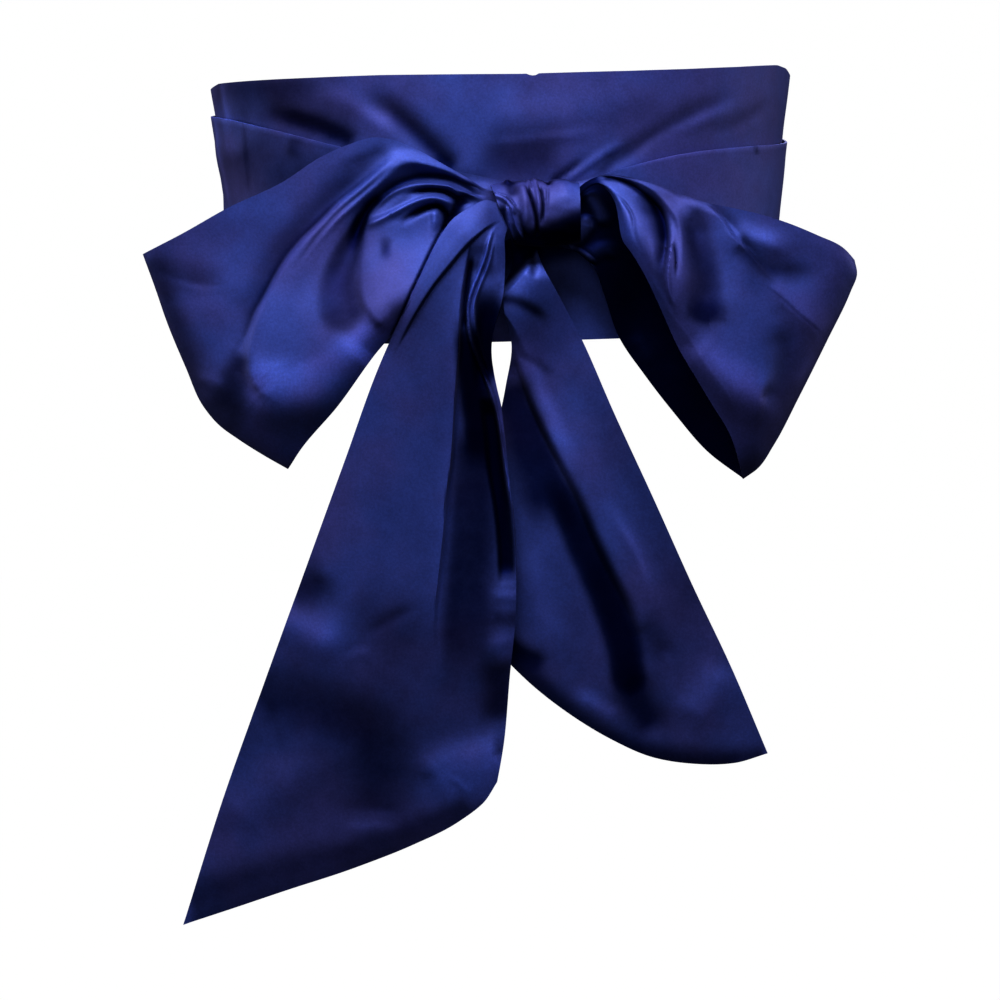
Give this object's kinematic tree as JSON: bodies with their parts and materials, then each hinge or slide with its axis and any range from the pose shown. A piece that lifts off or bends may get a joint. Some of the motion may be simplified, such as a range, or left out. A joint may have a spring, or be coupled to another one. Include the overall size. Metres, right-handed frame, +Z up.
{
  "type": "satin waist sash tied in a bow",
  "caption": "Wide satin sash wound round a waist and tied in front in a soft bow with two slant-cut hanging tails.",
  "frame": {"origin": "centre of the empty hollow at the waist, at half the band's height, where the wearer holds the sash", "axes": "+Z up along the waist, -Y to the front where the bow is, +X to the viewer's right of the bow"},
  "size_m": [0.3229, 0.2429, 0.3838],
  "materials": {
    "satin": "soft navy satin with a blue sheen"
  },
  "bodies": {
    "root": {"waist_band": "satin", "wrap_left": "satin", "wrap_right": "satin", "knot": "satin", "loop_left": "satin", "loop_right": "satin", "tail_left": "satin", "tail_right": "satin"}
  },
  "joints": []
}
